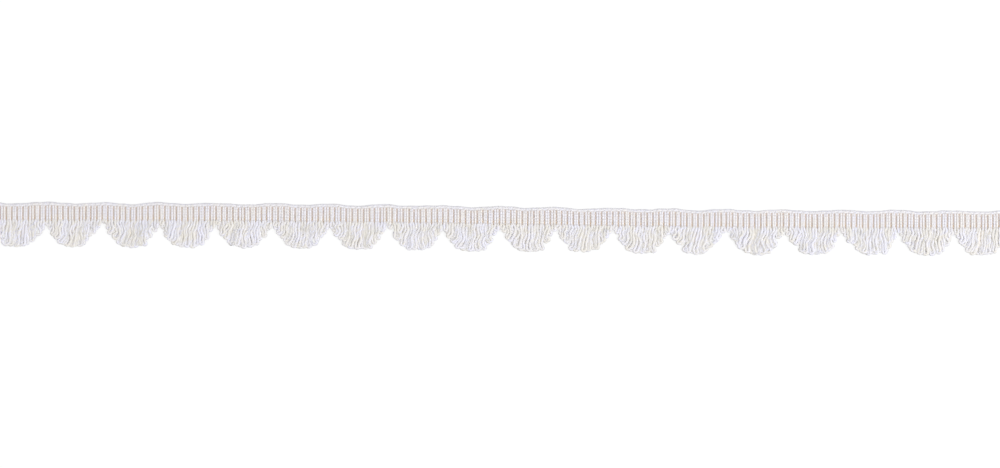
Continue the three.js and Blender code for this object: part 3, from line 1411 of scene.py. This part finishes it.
@dataclass
class Studio:
    """A plain white table under soft light, seen from straight above."""

    view_centre: tuple[float, float] = (0.35 * MM, -10.52 * MM)
    view_width: float = 0.6
    lens: float = 85.0
    sensor: float = 36.0
    floor_size: float = 4.0
    floor_drop: float = 0.05 * MM
    floor_white: float = 0.22
    floor_glow: float = 0.79
    sky: Colour = (1.0, 0.985, 0.98)
    sky_under: float = 0.1
    sky_low: float = 0.38
    sky_high: float = 1.12
    sky_edge: float = -0.15
    key_place: Place = (2.1, -0.5, 2.0)
    key_size: float = 1.8
    key_power: float = 42.0
    key_tint: Colour = (0.87, 0.92, 1.0)

    def floor(self) -> None:
        """Lay the floor just under the trim."""
        half = self.floor_size / 2
        corners = [(-half, -half), (half, -half), (half, half), (-half, half)]
        mesh = bpy.data.meshes.new("floor")
        mesh.from_pydata([(x, y, -self.floor_drop) for x, y in corners], [], [(0, 1, 2, 3)])
        white = MaterialTree("white_table").dress(
            (self.floor_white, self.floor_white, self.floor_white, 1.0),
            Roughness=1.0,
            Specular_IOR_Level=0.0,
            Emission_Color=(1.0, 1.0, 1.0, 1.0),
            Emission_Strength=self.floor_glow,
        )
        mesh.materials.append(white)
        floor = linked("floor", mesh)
        floor.visible_diffuse = False
        floor.visible_glossy = False

    def light(self) -> None:
        """Light the scene with a pale sky and one wide lamp from the lower right."""
        world = bpy.data.worlds.new("pale_sky")
        world.use_nodes = True
        background = world.node_tree.nodes["Background"]
        background.inputs["Color"].default_value = (*self.sky, 1.0)
        nodes = Nodes(world.node_tree)
        rise = nodes.part(nodes.add("ShaderNodeTexCoord").outputs["Generated"], "Z")
        low = nodes.ease(rise, self.sky_edge, 0.0, self.sky_under, self.sky_low)
        above = nodes.math("MAXIMUM", rise, 0.0)
        strength = nodes.math("MULTIPLY_ADD", above, self.sky_high - self.sky_low, low)
        nodes.feed(background.inputs["Strength"], strength)
        bpy.context.scene.world = world
        lamp = bpy.data.lights.new("soft_lamp", "AREA")
        lamp.shape = "DISK"
        lamp.size = self.key_size
        lamp.energy = self.key_power
        lamp.color = self.key_tint
        holder = linked("soft_lamp", lamp)
        holder.location = self.key_place
        x, y, z = self.key_place
        holder.rotation_euler = (math.atan2(math.hypot(x, y), z), 0.0, math.atan2(x, -y))

    def camera(self) -> None:
        """Hang the camera over the middle of the view, looking straight down."""
        lens = bpy.data.cameras.new("camera")
        lens.lens = self.lens
        lens.sensor_width = self.sensor
        holder = linked("camera", lens)
        holder.location = (*self.view_centre, self.view_width * self.lens / self.sensor)
        bpy.context.scene.camera = holder
        bpy.context.scene.view_settings.view_transform = "Standard"


def main() -> None:
    """Build the trim and its studio, declare every piece and note the sizes."""
    logging.basicConfig(level=logging.INFO, format="%(name)s %(message)s")
    studio = Studio()
    studio.camera()
    lie = Lie.from_frame()
    spinner = Spinner(YarnTree(), lie)
    # Each yarn's hollow and seam colours are painted shade: in its ply grooves, and low between strands.
    rib_yarn = YarnFinish(
        "ivory_rib_yarn",
        cool=(0.855, 0.875, 0.995),
        warm=(0.89, 0.87, 0.84),
        groove_shade_and_fibre_tone=(0.815, 0.78, 0.765),
        strand_gap_shade=(0.84, 0.80, 0.78),
    ).build()
    loop_yarn = YarnFinish(
        "ivory_loop_yarn",
        cool=(0.80, 0.82, 0.99),
        warm=(0.80, 0.778, 0.715),
        groove_shade_and_fibre_tone=(0.78, 0.74, 0.70),
        strand_gap_shade=(0.90, 0.81, 0.70),
    ).build()
    # The edge cord's colours are darker and greyer than the ribs' ivory: painted shade along the selvedge's
    # outline.
    edge_yarn = YarnFinish(
        "ivory_edge_yarn_painted_shade",
        cool=(0.72, 0.735, 0.845),
        warm=(0.75, 0.73, 0.73),
        groove_shade_and_fibre_tone=(0.66, 0.64, 0.66),
        strand_gap_shade=(0.66, 0.64, 0.66),
    ).build()
    thread = ThreadFinish().build()

    heading = Heading(lie, spinner)
    ground = heading.ground(GroundFinish().build())
    woven = [ground, *heading.ribs(rib_yarn), heading.edge(edge_yarn), heading.warps(thread)]
    for piece in woven:
        declare(piece, "heading")

    for number, scallop in enumerate(SCALLOPS, start=1):
        piece = Fan(lie, spinner, number, scallop).build(loop_yarn)
        declare(piece, f"fan_{number:02d}")

    studio.floor()
    studio.light()


if __name__ == "__main__":
    main()
